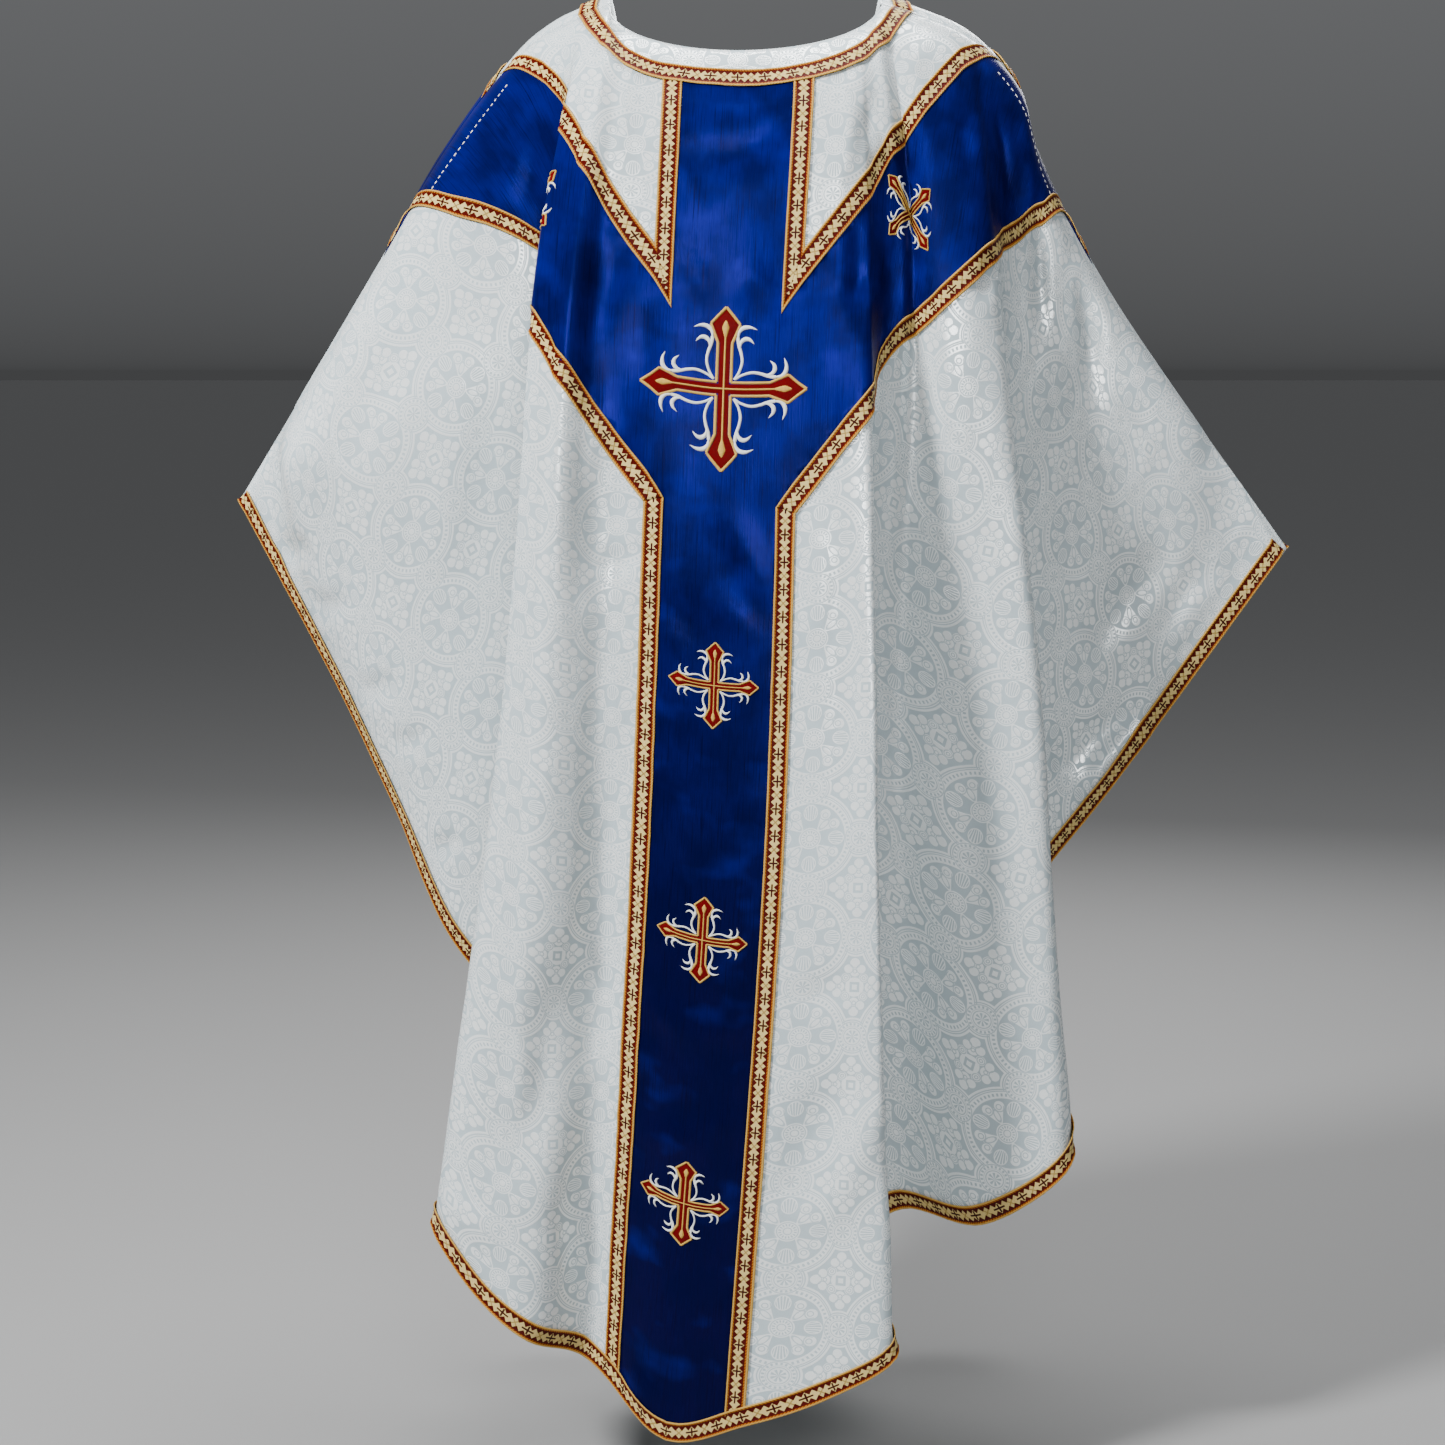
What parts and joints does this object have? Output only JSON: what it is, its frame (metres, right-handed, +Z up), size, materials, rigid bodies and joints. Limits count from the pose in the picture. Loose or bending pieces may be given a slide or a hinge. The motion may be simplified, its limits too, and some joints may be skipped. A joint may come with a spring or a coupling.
{
  "type": "gothic chasuble",
  "caption": "Poncho-cut church vestment of white damask, filled out as worn, with a blue Y-shaped orphrey, woven trim and embroidered crosses.",
  "frame": {"origin": "on the shoulder line, midway between the two neck points, where the wearer's neck and shoulders hold the vestment", "axes": "+Z up, -Y out of the back panel, which is the side the picture shows; +X to the right as one looks at the back"},
  "size_m": [1.0122, 0.438, 1.3224],
  "materials": {
    "damask": "white damask, satin figure on a matt ground",
    "orphrey": "royal blue slubbed satin",
    "galloon": "woven gold, ivory and dark red trim",
    "embroidery": "red, gold and silver satin stitch"
  },
  "bodies": {
    "root": {"back_panel": "damask", "front_panel": "damask", "back_orphrey": "orphrey", "front_orphrey": "orphrey", "back_galloon_neck": "galloon", "back_galloon_hem": "galloon", "back_galloon_column_left": "galloon", "back_galloon_column_right": "galloon", "back_galloon_inner_left": "galloon", "back_galloon_inner_right": "galloon", "back_galloon_arm_upper_left": "galloon", "back_galloon_arm_upper_right": "galloon", "back_galloon_arm_lower_left": "galloon", "back_galloon_arm_lower_right": "galloon", "front_galloon_neck": "galloon", "front_galloon_hem": "galloon", "front_galloon_column_left": "galloon", "front_galloon_column_right": "galloon", "front_galloon_inner_left": "galloon", "front_galloon_inner_right": "galloon", "front_galloon_arm_upper_left": "galloon", "front_galloon_arm_upper_right": "galloon", "front_galloon_arm_lower_left": "galloon", "front_galloon_arm_lower_right": "galloon", "cross_large": "embroidery", "cross_column_1": "embroidery", "cross_column_2": "embroidery", "cross_column_3": "embroidery", "cross_arm_left": "embroidery", "cross_arm_right": "embroidery"}
  },
  "joints": []
}
